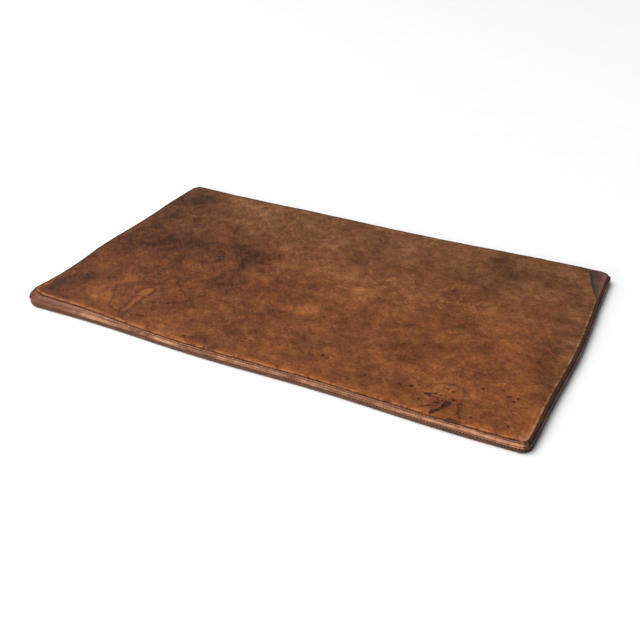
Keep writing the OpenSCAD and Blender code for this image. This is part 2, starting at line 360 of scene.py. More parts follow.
class Finish:
    """A material and the tree of its nodes. A length in the tree is in millimetres."""

    def __init__(self, name):
        self.material = bpy.data.materials.new(name)
        self.material.use_nodes = True
        self.tree = self.material.node_tree
        self.tree.nodes.clear()
        metres = self.node("ShaderNodeTexCoord", output="Object")
        self.place = self.node("ShaderNodeVectorMath", {"operation": "SCALE"}, {0: metres, "Scale": 1 / MM})
        self.x, self.y, self.z = self.split(self.place)

    def node(self, kind, settings=None, inputs=None, output=0):
        """Adds a node, sets its settings and then its sockets, and returns one of its outputs."""
        made = self.tree.nodes.new(kind)
        for key, value in (settings or {}).items():
            setattr(made, key, value)
        for key, value in (inputs or {}).items():
            if isinstance(value, Wire):
                self.tree.links.new(value.socket, made.inputs[key])
            else:
                made.inputs[key].default_value = value
        return Wire(self, made.outputs[output])

    def vector(self, operation, first, second, output=0):
        """A sum, product or distance of two vectors."""
        return self.node("ShaderNodeVectorMath", {"operation": operation}, {0: first, 1: second}, output)

    def split(self, vector):
        first = self.node("ShaderNodeSeparateXYZ", None, {0: vector})
        return [Wire(self, first.socket.node.outputs[k]) for k in range(3)]

    def attribute(self, name):
        return self.node("ShaderNodeAttribute", {"attribute_name": name}, output="Fac")

    def noise(self, size, detail=2.0, roughness=0.5, warp=0.0, at=None, offset=0.0):
        """Noise from 0 to 1 whose features are about that many millimetres wide."""
        moved = self.vector("ADD", at or self.place, (offset,) * 3)
        return self.node("ShaderNodeTexNoise", None, {"Vector": moved, "Scale": 1 / size, "Detail": detail,
            "Roughness": roughness, "Distortion": warp})

    def step(self, value, start, end):
        """0 below start and 1 above end, with a smooth step between. Start may be above end."""
        return self.node("ShaderNodeMapRange", {"interpolation_type": "SMOOTHSTEP"},
            {"Value": value, "From Min": start, "From Max": end, "To Min": 0.0, "To Max": 1.0})

    def mix(self, first, second, share, blend="MIX"):
        """A colour between two, or one blended onto the other."""
        return self.node("ShaderNodeMix", {"data_type": "RGBA", "blend_type": blend},
            {0: share, 6: first, 7: second}, output=2)

    def bump(self, height, depth, normal=None):
        """Dents of that many millimetres where height goes from 0 to 1."""
        inputs = {"Height": height * (depth * MM), "Distance": 1.0, "Strength": 1.0}
        if normal is not None:
            inputs["Normal"] = normal
        return self.node("ShaderNodeBump", None, inputs)

    def surface(self, colour, roughness, normal=None, **constants):
        """The principled surface. Constants such as sheen are set on the shader's own sockets."""
        inputs = {"Base Color": colour, "Roughness": roughness, **constants}
        if normal is not None:
            inputs["Normal"] = normal
        shader = self.node("ShaderNodeBsdfPrincipled", None, inputs)
        output = self.tree.nodes.new("ShaderNodeOutputMaterial")
        self.tree.links.new(shader.socket, output.inputs["Surface"])
        return self.material


def paint(red, green, blue):
    """A colour given as screen values from 0 to 255, turned to the linear values that shaders use."""
    screen = np.array([red, green, blue]) / 255
    linear = np.where(screen <= 0.04045, screen / 12.92, ((screen + 0.055) / 1.055) ** 2.4)
    return (*linear.tolist(), 1.0)


# %% [markdown]
# ## Marks on the hide
# A hide that has been used for decades carries scratches, insect holes, drops and stains. Each mark is a
# short list of points in millimetres on the mat. The shader measures how far a point is from the nearest
# piece of the line, and a little noise bends the coordinates first, so that no mark looks ruled.

# %% Distance to lines and dots
def to_line(f, at, points):
    """Distance to a chain of straight pieces: p - a, less its share along b - a held between 0 and 1."""
    gaps = []
    for (ax, ay), (bx, by) in zip(points, points[1:]):
        along = np.array([bx - ax, by - ay, 0.0])
        from_start = f.vector("SUBTRACT", at, (ax, ay, 0.0))
        scaled = tuple((along / (along @ along)).tolist())
        share = f.vector("DOT_PRODUCT", from_start, scaled, "Value").held()
        reached = f.node("ShaderNodeVectorMath", {"operation": "SCALE"},
            {0: tuple(along.tolist()), "Scale": share})
        gaps.append(f.vector("DISTANCE", from_start, reached, "Value"))
    return reduce(Wire.least, gaps)


def to_shape(f, at, strokes):
    """Distance to the rim of a shape drawn with thick strokes: to each stroke's line, less half its width."""
    return reduce(Wire.least, [to_line(f, at, points) - half_width for points, half_width in strokes])


def to_dots(f, at, dots):
    """Distance to the rim of the nearest dot: the distance to its centre less its radius."""
    return reduce(Wire.least, [f.vector("DISTANCE", at, (x, y, 0.0), "Value") - size for x, y, size in dots])


# %% [markdown]
# ## Where the marks lie
# Scratches, pale lines and stain rims are chains of points. The stain and the gouges are strokes, each a
# chain and half of its width. A hole is a centre and a radius. All of it is in millimetres from the middle of
# the mat.

# %% Lists of marks
pale_scratches = [
    [(-37, -10), (22, 6), (62, 10), (108, 26)],
    [(84, 36), (112, 21), (141, 27), (158, 44), (150, 57)],
    [(168, 60), (196, 52), (208, 36)],
    [(228, 12), (248, -4), (270, -25)],
    [(-4, -70), (26, -90), (70, -84)],
]
pale_lines = [
    [(-151, 193), (-148, 87)],
    [(-217, 232), (-215, 165)],
]
stain = [
    ([(-235, -139), (-235, -147)], 9),
    ([(-235, -160), (-231, -203)], 4.5),
]
stain_rims = [
    [(-212, -90), (-190, -115), (-160, -132), (-166, -148), (-190, -160), (-212, -163)],
    [(-288, -146), (-278, -164), (-267, -182), (-262, -200), (-238, -208), (-196, -206)],
    [(240, -178), (247, -169), (256, -163), (270, -160), (284, -164), (290, -172), (291, -190),
        (290, -205), (296, -217), (300, -226)],
    [(-205, -168), (-196, -176), (-190, -186)],
]
holes = [
    (-33, -185, 1.1), (-38, -190, 1.0), (-28, -189, 1.1), (-36, -198, 1.2), (-29, -197, 1.1),
    (-33, -203, 0.9), (2, -178, 1.1), (12, -177, 1.0), (22, -180, 1.2), (33, -179, 1.1), (41, -178, 0.9),
    (87, -177, 1.8), (97, -178, 1.7), (141, -210, 2.2), (180, -193, 1.1), (-110, -222, 2.4),
    (-98, -219, 1.5), (205, -190, 1.9), (209, -190, 1.7), (222, -187, 2.7), (229, -180, 1.7),
    (236, -183, 1.3), (235, -188, 1.0), (267, -174, 1.6), (274, -178, 2.0), (276, -174, 1.5),
    (282, -193, 2.5), (265, -208, 2.1), (262, -200, 1.3), (268, -202, 1.7), (262, -208, 1.6),
    (240, -209, 1.3), (269, -160, 1.6), (264, -162, 1.3), (307, -153, 2.0), (341, -157, 2.2),
    (344, -155, 1.4), (351, -164, 2.2), (354, -154, 1.8), (347, -175, 1.3), (332, -145, 1.3),
    (352, -181, 1.6), (357, -187, 1.2), (357, -193, 1.1), (312, -217, 1.8), (359, -215, 1.5),
    (229, -192, 1.4),
]
gouges = [
    ([(279, -202), (275, -211)], 3.4),
    ([(276, -210), (265, -228)], 2.8),
    ([(244, -194), (248, -194)], 2.9),
    ([(248, -192), (263, -190)], 1.0),
    ([(251, -198), (261, -197)], 1.0),
    ([(244, -226), (259, -218)], 0.5),
]
print("marks:", len(pale_scratches), "scratches,", len(holes), "holes,", len(gouges), "gouges")

# %% [markdown]
# ## The worn top leather
# Old vegetable-tanned cowhide is red-brown where hands have polished it, greyer where it has only dried, and
# nearly black where oil has soaked in. A slow tone, kept as an attribute on the hide, places the large
# blotches. Noises of four sizes and a slanted streak break them up. Everything that varies goes to colour,
# roughness and bump.

# %% Finish: worn top leather
def worn_hide():
    f = Finish("worn top leather")
    seam = f.attribute("seam")
    tone = f.attribute("tone")
    flat = f.node("ShaderNodeCombineXYZ", None, {0: f.x, 1: f.y})
    wobble = f.node("ShaderNodeTexNoise", None, {"Vector": flat, "Scale": 0.07, "Detail": 3.0}, "Color")
    wobble = f.vector("SUBTRACT", wobble, (0.5, 0.5, 0.5))
    bent = f.vector("ADD", flat, f.vector("MULTIPLY", wobble, (9.0, 9.0, 0.0)))

    cloud = f.noise(46, 4, 0.55)
    mottle = f.noise(16, 4, 0.58, 0.5, offset=31)
    fleck = f.noise(4.5, 3, 0.6, offset=57)
    grain = f.noise(1.1, 2, 0.6, offset=83)
    slanted = f.node("ShaderNodeMapping", {"vector_type": "TEXTURE"}, {"Vector": f.place,
        "Rotation": (0.0, 0.0, 2.2), "Scale": (5.0, 1.0, 1.0)})
    streak = f.noise(4.5, 3, 0.6, at=slanted, offset=9)
    tone = tone * 1.45 + (streak - 0.5) * (0.55 + 0.65 * f.step(f.x, 150, -150)) + (cloud - 0.5) * 1.6
    tone = tone + (mottle - 0.5) * 1.9 + (fleck - 0.5) * 1.6 + (grain - 0.5) * 1.4

    # A stain that has dried is faded inside, and dirt has gathered along its rim.
    to_rims = [to_line(f, bent, points) + (fleck - 0.5) * 5 for points in stain_rims]
    rim = reduce(Wire.most, [f.step(gap, 3.2, 0.3) for gap in to_rims]) * f.step(mottle, 0.2, 0.5) * 0.7
    shape = to_shape(f, bent, stain) + (fleck - 0.5) * 4 + (mottle - 0.5) * 5
    faded = f.step(shape, 1.5, -4)
    rim = rim.most(f.step((shape - 2.2).math("ABSOLUTE"), 4.5, 0.4) * f.step(mottle, 0.15, 0.55) * 0.8)
    tone = tone + faded * 0.2 - rim * 0.55
    darker = (tone * -1.0).held()
    lighter = tone.held()

    # Dry, aged leather lies to the back, and handled leather to the front and right.
    aged = f.mix(f.mix(paint(108, 72, 45), paint(58, 37, 23), darker), paint(148, 110, 76), lighter)
    handled = f.mix(f.mix(paint(112, 67, 38), paint(60, 33, 18), darker), paint(158, 102, 58), lighter)
    colour = f.mix(aged, handled, f.step(f.y + (cloud - 0.5) * 160 + f.step(f.x, 335, 385) * 170, 210, -60))
    # A warm band inside the front seam: partly orange leather and partly a painted highlight where the hide
    # curves down to the seam.
    in_front = f.step(f.y, -150, -205) * f.step(mottle, 0.3, 0.6)
    front_band_and_highlight = f.step(seam + (mottle - 0.5) * 34, 19, 2) * in_front
    colour = f.mix(colour, f.mix(paint(130, 66, 28), paint(196, 122, 62), fleck), front_band_and_highlight * 0.72)

    # Scratches and hairlines are pale, because they lay open fibre that has no polish.
    scratch = reduce(Wire.most, [f.step(to_line(f, bent, points), 1.5, 0.2) for points in pale_scratches])
    scratch = scratch * f.step(mottle, 0.4, 0.6)
    ghost = reduce(Wire.most, [f.step(to_line(f, bent, points), 3.5, 0.5) for points in pale_lines])
    hairline = f.step((f.noise(19, 3, 0.5, 1.2, offset=120) - 0.5).math("ABSOLUTE"), 0.014, 0.002)
    rubbed = f.vector("DISTANCE", f.vector("MULTIPLY", flat, (0.009, 0.022, 0.0)), (1.4, 0.9, 0.0), "Value")
    hairline = hairline * f.step(mottle, 0.46, 0.6) * (0.14 + 0.85 * f.step(rubbed, 1.25, 0.5))
    colour = f.mix(colour, paint(176, 122, 78), (scratch * 0.5 + ghost * 0.16 + hairline).least(1))

    # Holes, gouges and pores are painted dark and ragged inside: painted shade in them.
    hole = f.step(to_dots(f, bent, holes) + (fleck - 0.5) * 3, 0.9, -0.6)
    cut = f.step(to_shape(f, bent, gouges) + (fleck - 0.5) * 5, 0.9, -0.4)
    pores = f.step(f.noise(3.6, 1, offset=200), 0.7, 0.78) * f.step(f.noise(50, 1, offset=220), 0.42, 0.6)
    colour = f.mix(colour, paint(54, 26, 13), rim * 0.25)
    rosy, sandy = (1.0, 0.77, 0.8, 1.0), (1.0, 0.93, 0.7, 1.0)
    tint = f.mix(rosy, sandy, (f.noise(17, 3, 0.6, offset=301) * 2.6 - 0.8).held())
    colour = f.mix(colour, tint, 0.8, "MULTIPLY")
    hole_shade = f.mix(paint(34, 15, 10), paint(70, 38, 28), (fleck * 3 - 1).held())
    colour = f.mix(colour, hole_shade, hole.most(cut).most(pores * 0.6) * 0.88)

    # Beside the seam the lip is painted paler, partly rubbed wear and partly a painted highlight on its
    # rounded rim, and the groove itself is painted dark, as painted shade with dirt.
    lip_wear_and_highlight = f.step(seam, 1.6, 2.4) * f.step(seam + (fleck - 0.5) * 5, 5.5, 3.0)
    front_lip = f.step(f.y, -120, -190) * f.step(mottle, 0.4, 0.6)
    right_lip = f.step(f.x, 370, 392) * f.step(fleck + (mottle - 0.5), 0.4, 0.6)
    colour = f.mix(colour, paint(184, 126, 84), lip_wear_and_highlight * 0.6 * front_lip)
    colour = f.mix(colour, paint(138, 112, 88), lip_wear_and_highlight * 0.7 * right_lip)
    # Pinkish patches at the front right corner: a painted highlight of the gathered leather there.
    painted_gather_highlights = f.step(to_dots(f, bent, [(386, -231, 0)]), 18, 5) * f.step(fleck + (mottle - 0.5), 0.44, 0.62)
    colour = f.mix(colour, paint(168, 120, 98), painted_gather_highlights * 0.55)
    # The seam groove is painted dark: painted shade with dirt.
    groove_shade_and_dirt = f.step(seam + (fleck - 0.5) * 1.8, 1.7, 0.7)
    dirt = f.mix(paint(40, 20, 12), paint(84, 50, 32), (fleck * 3 - 1.1).held())
    colour = f.mix(colour, dirt, groove_shade_and_dirt * 0.88)

    cell = f.node("ShaderNodeTexVoronoi", {"feature": "DISTANCE_TO_EDGE"}, {"Vector": f.place, "Scale": 0.75})
    pebble = f.step(cell, 0.0, 0.25) * 0.5 + grain * 0.5
    normal = f.bump(pebble, 0.07)
    normal = f.bump(fleck * 0.6 + mottle, 0.3, normal)
    normal = f.bump(hole.most(cut) * -1 + rim * -0.25 + scratch * -0.3, 0.4, normal)
    roughness = 0.66 - darker * 0.12 + groove_shade_and_dirt * 0.25 + hole * 0.2
    roughness = roughness + (fleck - 0.5) * 0.25 + (cloud - 0.5) * 0.15
    return f.surface(colour, roughness, normal, **{"Specular IOR Level": 0.12})


top_leather = worn_hide()
print("top leather:", len(top_leather.node_tree.nodes), "nodes")

# %% [markdown]
# ## The rolled strip leather
# The strips are the same leather, but they stand proud, so sleeves and hands have rubbed them paler and
# pinker. Dirt stays on the ledge beside the top seam. Painted shade darkens the creases and the low part of
# the roll, and the seam grooves carry painted shade with dirt. The piece carries two attributes: how far a
# point lies from the top seam, and how hollow it is, which the geometry knows better than any noise.

# %% Finish: rolled strip leather
def rolled_leather():
    f = Finish("rolled strip leather")
    seam = f.attribute("seam")
    hollow = f.attribute("hollow")
    mottle = f.noise(14, 4, 0.6, 0.5)
    fleck = f.noise(3.5, 3, 0.65, offset=40)
    grain = f.noise(0.9, 2, 0.6, offset=70)
    lengthwise = f.vector("MULTIPLY", f.place, (0.3, 0.3, 1.0))
    smear = f.noise(3.2, 3, 0.6, at=lengthwise, offset=11)
    # Crease, pucker and joint hollows are painted darker, as painted shade; lumps and gathers are painted
    # paler.
    worn = (0.52 + (mottle - 0.5) * 1.2 + (smear - 0.5) * 1.0 + (fleck - 0.5) * 0.5 - hollow * 1.1).held()
    left_end = f.step(f.x, -240, -340)
    rubbed = f.mix(paint(192, 136, 102), paint(140, 92, 68), left_end)
    colour = f.mix(paint(100, 56, 33), rubbed, worn)
    # The lowest part of the roll, which faces down, is painted darker: painted shade.
    under = f.step(f.z + (mottle - 0.5) * 2 + (smear - 0.5) * 1.5, 7.0, 5.9)
    colour = f.mix(colour, f.mix(paint(58, 28, 15), paint(100, 54, 32), worn), under)
    ledge = f.step(seam + (smear - 0.5) * 2.4 + (fleck - 0.5) * 2, 3.6, 1.6) * (1 - left_end * 0.5)
    speck = (fleck * 3 - 1.1).held()
    colour = f.mix(colour, f.mix(paint(84, 44, 24), paint(166, 112, 76), speck), ledge * 0.85)
    # The seam groove is painted dark: painted shade with dirt.
    groove_shade_and_dirt = f.step(seam + (fleck - 0.5) * 1.6, 1.3, 0.4)
    colour = f.mix(colour, f.mix(paint(44, 22, 13), paint(96, 60, 40), speck), groove_shade_and_dirt * 0.92)
    # A dark band along the lower seam, under the roll: painted shade.
    low = f.step(f.z + (fleck - 0.5) * 0.9, 6.2, 5.4)
    colour = f.mix(colour, paint(46, 23, 13), low * 0.85)
    shaded = f.step(f.x, 381, 391).most(f.step(f.y, 226, 232) * 0.75).most(f.step(f.x, -385, -393) * 0.5)
    colour = f.mix(colour, f.mix(paint(36, 17, 10), paint(80, 42, 25), worn), shaded * 0.92)
    normal = f.bump(grain, 0.06)
    normal = f.bump(fleck, 0.22, normal)
    roughness = 0.58 - worn * 0.12 + (fleck - 0.5) * 0.2 + low * 0.12
    return f.surface(colour, roughness, normal, **{"Specular IOR Level": 0.2})


strip_leather = rolled_leather()

# %% [markdown]
# ## The other finishes
# The bottom hide is dark and rubbed. Its rim is redder, with painted shade where it touches the desk and
# along the right side. The patch is thin and darkest along its inner edge. Threads are twisted and waxed.
# Felt is matted wool, and the cord is painted darker between its strands, as painted shade. Each gets its own
# small tree.

# %% Finishes: bottom leather, patch, threads, felt and cord
def dark_leather():
    f = Finish("rubbed bottom leather")
    mottle = f.noise(26, 4, 0.6, 0.3)
    fleck = f.noise(4, 3, 0.65, offset=20)
    grain = f.noise(1.0, 2, 0.6, offset=50)
    worn = ((mottle - 0.5) * 1.6 + (fleck - 0.5) + 0.45).held()
    rim = f.attribute("rim")
    colour = f.mix(paint(62, 38, 26), paint(104, 68, 46), worn)
    colour = f.mix(colour, f.mix(paint(68, 37, 22), paint(116, 70, 45), worn), rim)
    # Painted shade: the rim is darkened where it touches the desk and on the right side.
    colour = f.mix(colour, paint(40, 21, 13), f.step(f.z + (fleck - 0.5), 1.2, 0.3) * rim * 0.8)
    colour = f.mix(colour, paint(44, 22, 14), f.step(f.x, 376, 390) * rim * 0.85)
    scuff = f.step((f.noise(3, 2, 0.5, 2.0, offset=90) - 0.5).math("ABSOLUTE"), 0.015, 0.0)
    colour = f.mix(colour, paint(140, 104, 78), scuff * 0.25)
    normal = f.bump(grain, 0.06)
    normal = f.bump(fleck + mottle, 0.25, normal)
    return f.surface(colour, 0.62 + (fleck - 0.5) * 0.25 - rim * 0.08, normal, **{"Specular IOR Level": 0.25})


def patch_finish():
    f = Finish("dark patch leather")
    across = f.attribute("across")
    mottle = f.noise(9, 4, 0.6, 0.4)
    fleck = f.noise(2.6, 3, 0.6, offset=20)
    colour = f.mix(paint(52, 32, 26), paint(94, 60, 44), (mottle * 2.4 - 0.8).held())
    corner = f.step(across + (mottle - 0.5) * 0.5, 0.4, 0.95)
    colour = f.mix(colour, paint(116, 78, 54), corner * 0.7)
    edge = f.step(across + (fleck - 0.5) * 0.16, 0.26, 0.06)
    colour = f.mix(colour, paint(34, 20, 17), edge * 0.85)
    normal = f.bump(f.noise(1.0, 2, offset=60), 0.05)
    normal = f.bump(fleck, 0.15, normal)
    return f.surface(colour, 0.48 + (fleck - 0.5) * 0.2, normal, **{"Specular IOR Level": 0.45})


def thread_finish(name, dark, light):
    f = Finish(name)
    turn = f.node("ShaderNodeTexWave", None, {"Vector": f.place, "Scale": 0.35, "Distortion": 1.5})
    dirt = f.noise(5, 3, 0.6)
    colour = f.mix(dark, light, (turn * 0.5 + dirt * 0.9 - 0.2).held())
    normal = f.bump(turn, 0.08)
    return f.surface(colour, 0.7 - dirt * 0.2, normal, **{"Sheen Weight": 0.2, "Specular IOR Level": 0.3})


def felt_finish():
    f = Finish("pressed wool felt")
    fibre = f.noise(1.4, 4, 0.7, 1.5)
    cloud = f.noise(12, 3, 0.6, offset=30)
    colour = f.mix(paint(150, 142, 130), paint(202, 194, 180), fibre * 0.7 + cloud * 0.3)
    return f.surface(colour, 0.92 + (fibre - 0.5) * 0.1, f.bump(fibre, 0.25), **{"Sheen Weight": 0.4})


def cord_finish():
    f = Finish("cotton piping cord")
    strand = f.attribute("strand")
    fibre = f.noise(0.8, 3, 0.7, 0.8)
    # The grooves between the strands are painted darker: painted shade.
    colour = f.mix(paint(150, 134, 104), paint(214, 202, 176), strand * 0.7 + fibre * 0.3)
    return f.surface(colour, 0.9 + (fibre - 0.5) * 0.1, f.bump(fibre, 0.12), **{"Sheen Weight": 0.3})


bottom_leather, patch_leather = dark_leather(), patch_finish()
felt_wool, cord_cotton = felt_finish(), cord_finish()
dark_thread = thread_finish("dirty waxed thread", paint(34, 19, 13), paint(92, 60, 42))
pale_thread = thread_finish("faded waxed thread", paint(96, 62, 42), paint(176, 134, 98))
print("finishes:", len(bpy.data.materials))


# %% [markdown]
# ## A lattice inside a crooked outline
# Both hides and both felts fill a shape whose four sides all curve a little. A Coons patch stretches a
# lattice between the four sides: it blends front with back and left with right, then takes away the corners
# it has counted twice. Lattice lines can stand closer together where small marks need them.

# %% Coons lattice
def spacing(cells, start, end, gain):
    """Shares from 0 to 1 that are gain times closer together between start and end."""
    t = np.linspace(0, 1, 4001)
    density = 1 + (gain - 1) * ease((t - start) / 0.06 + 0.5) * ease((end - t) / 0.06 + 0.5)
    travelled = np.concatenate([[0], np.cumsum(density[1:] + density[:-1])])
    return np.interp(np.linspace(0, 1, cells + 1), travelled / travelled[-1], t)


def side_points(side, shares, depth):
    s = shares * run(side)
    return inward(side, s, depth(side, s))


def coons(u, v, depth):
    """(1-v) front + v back + (1-u) left + u right, less the same blend of the four corners."""
    front, back_side = side_points(FRONT, u, depth)[:, None], side_points(BACK, 1 - u, depth)[:, None]
    right_side, left_side = side_points(RIGHT, v, depth)[None], side_points(LEFT, 1 - v, depth)[None]
    u, v = u[:, None, None], v[None, :, None]
    corners = ((1 - u) * (1 - v) * front[:1] + u * (1 - v) * front[-1:]
        + (1 - u) * v * back_side[:1] + u * v * back_side[-1:])
    return (1 - v) * front + v * back_side + (1 - u) * left_side + u * right_side - corners


def to_sides(flat):
    """Distances from each point of a lattice to the lattice's front, right, back and left sides."""
    edges = (flat[:, :1], flat[-1:], flat[:, -1:], flat[:1])
    return [np.linalg.norm(flat - edge, axis=-1) for edge in edges]


def loop_of(columns, rows):
    """Indices of a lattice's outermost points, once round anticlockwise."""
    index = np.arange(columns * rows).reshape(columns, rows)
    return np.concatenate([index[:-1, 0], index[-1, :-1], index[:0:-1, -1], index[0, :0:-1]])


def loop_shares(u, v):
    return [u, v, 1 - u[::-1], 1 - v[::-1]]


def ring(shares, depth):
    """One closed ring of points, depth(side, s) inside the outline."""
    return np.concatenate([side_points(i, shares[i][:-1], depth) for i in range(4)])


def ring_values(shares, function):
    return np.concatenate([function(i, shares[i][:-1] * run(i)) for i in range(4)])


def doubled(shares):
    """The shares with one more halfway between each two."""
    return [np.interp(np.arange(2 * len(t) - 1) / 2, np.arange(len(t)), t) for t in shares]


def zip_ring(inner, count, start):
    """Triangles between a ring of points and the next ring, which has twice as many from index start on."""
    k = np.arange(count)
    a, b = inner, inner[(k + 1) % count]
    c, m, d = start + 2 * k, start + 2 * k + 1, start + (2 * k + 2) % (2 * count)
    return np.concatenate([np.stack(t, -1) for t in ((a, c, m), (a, m, b), (b, m, d))])


columns_u = spacing(296, 0.74, 0.89, 1.9)
rows_v = spacing(178, -0.1, 0.17, 1.8)
finest = np.diff(columns_u).min() * LENGTH, np.diff(rows_v).min() * WIDTH
print("finest lattice step in mm:", np.round(finest, 2))

# %% [markdown]
# ## The slack of the hide
# A hide stitched over felt isn't a flat plate. It has grown a little since it was sewn, so it stands in low
# swells between its seams. A cloth simulation gives their pattern: a coarse sheet, held at the seams, grows
# by a fifth of a percent and is pushed up softly by the felt. Such a sheet moves several millimetres, far
# more than stiff leather does, so a smooth cap holds the heights before cubic splines carry them to the fine
# lattice.

# %% Cloth simulation of the top hide
SLACK_CAP = 0.75
GROWTH = 0.002
FELT_PRESSURE = 0.03
coarse = (100, 60)


def spline_weights(at, knots):
    """Cubic B-spline weights of evenly spaced knots at shares from 0 to 1."""
    gap = np.abs(at[:, None] * (knots - 1) - np.arange(knots)[None])
    weight = np.where(gap < 1, 2 / 3 - gap ** 2 + gap ** 3 / 2, np.where(gap < 2, (2 - gap) ** 3 / 6, 0))
    return weight / weight.sum(1, keepdims=True)


def simulate_slack(frames=22):
    """Heights in mm of a slack sheet held all round, on the coarse lattice."""
    u, v = np.linspace(0, 1, coarse[0]), np.linspace(0, 1, coarse[1])
    flat = coons(u, v, from_seam(6))
    start = 0.25 * ripple(flat[..., 0], flat[..., 1], 38, 5)
    points = np.concatenate([flat, start[..., None]], -1).reshape(-1, 3) * MM
    sheet_mesh = bpy.data.meshes.new("slack")
    sheet_mesh.from_pydata(points.tolist(), [], lattice(*coarse)[:, ::-1].tolist())
    sheet = bpy.data.objects.new("slack", sheet_mesh)
    bpy.context.collection.objects.link(sheet)
    held = sheet.vertex_groups.new(name="seams")
    held.add(loop_of(*coarse).tolist(), 1.0, "REPLACE")
    cloth = sheet.modifiers.new("cloth", "CLOTH")
    cloth.settings.quality = 6
    cloth.settings.mass = 0.3
    cloth.settings.tension_stiffness = 25
    cloth.settings.compression_stiffness = 25
    cloth.settings.shear_stiffness = 12
    cloth.settings.bending_stiffness = 2
    cloth.settings.shrink_min = -GROWTH
    cloth.settings.vertex_group_mass = held.name
    cloth.settings.use_pressure = True
    cloth.settings.uniform_pressure_force = FELT_PRESSURE
    cloth.settings.effector_weights.gravity = 0
    cloth.collision_settings.use_collision = False
    scene = bpy.context.scene
    for number in range(1, frames + 1):
        scene.frame_set(number)
    moved = sheet.evaluated_get(bpy.context.evaluated_depsgraph_get()).data
    result = np.empty(len(points) * 3)
    moved.vertices.foreach_get("co", result)
    scene.frame_set(1)
    bpy.data.objects.remove(sheet)
    return result.reshape(*coarse, 3)[..., 2] / MM


slack = simulate_slack()
print("slack before the cap, mm:", slack.min().round(2), "to", slack.max().round(2))
slack = SLACK_CAP * np.tanh(slack / SLACK_CAP)
swell = spline_weights(columns_u, coarse[0]) @ slack @ spline_weights(rows_v, coarse[1]).T

# %% [markdown]
# ## The top hide
# The hide is a thick sheet whose edge turns down into the seam groove. Its crown is a list of drops against
# the distance from the seam. The turned edge is a list of distances inside the seam, with a height for each.
# Each stitch pulls the edge down a little, so the rim is scalloped at the stitch spacing. Gentle waves run in
# from the seams, and the larger marks are real dents, with the lattice finer around them.

# %% Heights of the top hide
crown_distance = [0.05, 0.3, 0.6, 1.0, 1.45, 2.0, 2.7, 3.7, 6, 10, 17, 30]
crown_drop = [1.9, 1.45, 1.05, 0.7, 0.46, 0.36, 0.36, 0.38, 0.32, 0.22, 0.08, 0]
rim_depths = [5.0, 4.2, 3.5, 2.9, 2.4, 1.95, 1.55, 1.2, 0.9, 0.65, 0.42, 0.22, 0.05]
turned_edge = [(0.05, 11.9), (0.1, 11.35), (1.0, 11.3), (2.05, 11.32), (2.1, 12.2), (2.6, 12.32)]
HOLE_DEPTH, GOUGE_DEPTH = 0.5, 0.4
dents = [hole for hole in holes if hole[2] > 1.2]


def at_hole(count):
    """1 at each stitch hole and 0 between them, as a squared cosine."""
    return (0.5 + 0.5 * np.cos(2 * np.pi * count)) ** 2


def edge_wave(side, s, depth):
    """Waves that run in from a seam and fade with distance: value noise, quiet near the corners."""
    ends = ease(s / 45) * ease((run(side) - s) / 45)
    slow = ripple(s, side * 37.0, 21, 11) * np.exp(-depth / 16)
    quick = ripple(s, side * 37.0, 8.5, 12) * np.exp(-depth / 7)
    return ends * (0.3 * slow + 0.17 * quick)


def hide_height(x, y, depth):
    """The hide's face without stitch puckers: the top, less the crown's drop and dents, plus ripples."""
    z = top_z - np.interp(depth, crown_distance, crown_drop)
    calm = ease(depth / 12)
    z = z + calm * (0.16 * ripple(x, y, 62, 21) + 0.1 * ripple(x, y, 24, 22) + 0.05 * ripple(x, y, 9, 23))
    for cx, cy, size in dents:
        z = z - HOLE_DEPTH * np.exp(-((x - cx) ** 2 + (y - cy) ** 2) / (1.1 * size) ** 2)
    for ((ax, ay), (bx, by)), half_width in gouges:
        length = np.hypot(bx - ax, by - ay)
        share = np.clip(((x - ax) * (bx - ax) + (y - ay) * (by - ay)) / length ** 2, 0, 1)
        gap = np.hypot(x - ax - share * (bx - ax), y - ay - share * (by - ay))
        z = z - GOUGE_DEPTH * ease((half_width + 1 - gap) / 1.6)
    return z


# %% [markdown]
# ## The tone of the hide
# The slow tone of the leather is a sum of soft spots, each a centre, two radii, a turn and an amount.
# Negative spots are oil-dark, positive ones are dry and pale. Noise bends the spots, so that they look like
# stains.

